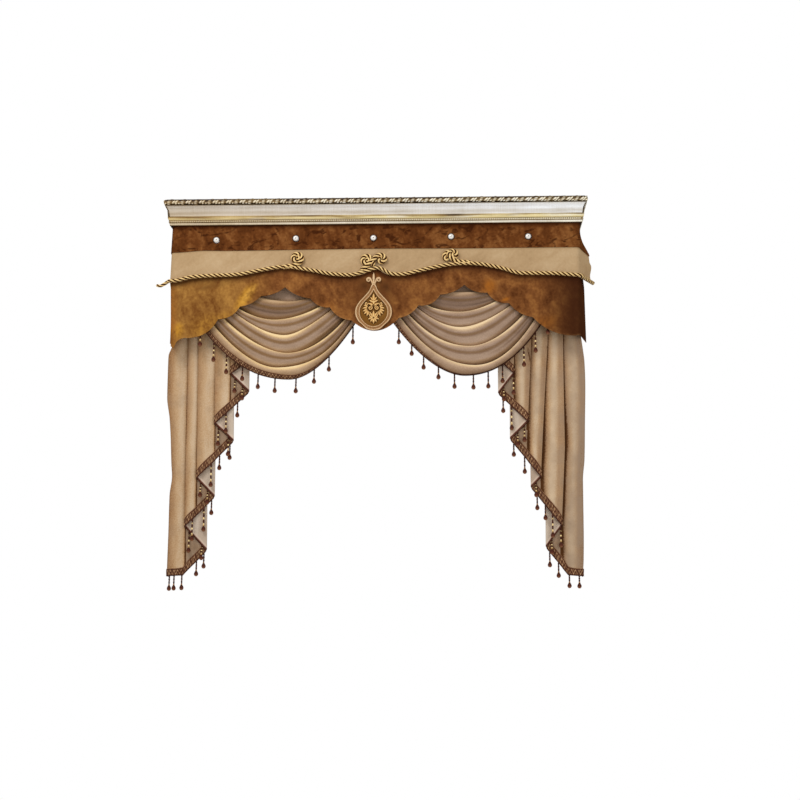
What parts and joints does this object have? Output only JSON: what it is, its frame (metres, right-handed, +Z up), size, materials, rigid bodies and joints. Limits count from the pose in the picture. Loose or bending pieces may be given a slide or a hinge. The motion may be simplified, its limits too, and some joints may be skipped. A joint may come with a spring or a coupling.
{
  "type": "window valance with cornice",
  "caption": "Swag-and-jabot window valance with scalloped lambrequin, twisted rope, medallion and bead fringes, hung from a moulded cornice on a wall batten.",
  "frame": {"origin": "middle of the wall batten's back, on the wall face", "axes": "+X to the right seen from the room, +Y into the wall, +Z up"},
  "size_m": [1.8708, 0.2484, 1.6596],
  "materials": {
    "timber": "plain planed softwood",
    "champagne_leaf": "brushed silver and champagne metal leaf on carved moulding",
    "brown_suede": "mottled brown suede cloth",
    "tan_suede": "fine tan suede cloth",
    "brown_velvet": "crushed golden brown velvet",
    "beige_satin": "soft beige satin",
    "beige_velvet": "beige velvet with a paler back",
    "brown_braid": "brown and gold woven gimp braid",
    "gold_rope": "twisted rope of gold and dark brown strands",
    "pearl": "pearl with a dark metal rim",
    "cream_cord": "cream and gold embroidery cord",
    "amber_bead": "polished gold and amber beads with red-brown drops"
  },
  "bodies": {
    "root": {"wall_batten": "timber", "top_board": "timber", "heading_rail": "timber", "cornice_front": "champagne_leaf", "cornice_return_left": "champagne_leaf", "cornice_return_right": "champagne_leaf", "top_band": "brown_suede", "stud_1": "pearl", "stud_2": "pearl", "stud_3": "pearl", "stud_4": "pearl", "stud_5": "pearl", "tan_band": "tan_suede", "rope": "gold_rope", "knot_1": "gold_rope", "knot_2": "gold_rope", "knot_3": "gold_rope", "knot_4": "gold_rope", "lambrequin": "brown_velvet", "medallion_pad": "brown_velvet", "medallion_edging": "cream_cord", "medallion_finial": "cream_cord", "swag_left": "beige_satin", "swag_right": "beige_satin", "fringe_swag_left": "brown_braid", "fringe_swag_right": "brown_braid", "jabot_left": "beige_velvet", "jabot_right": "beige_velvet", "fringe_jabot_left": "brown_braid", "fringe_jabot_right": "brown_braid"}
  },
  "joints": []
}
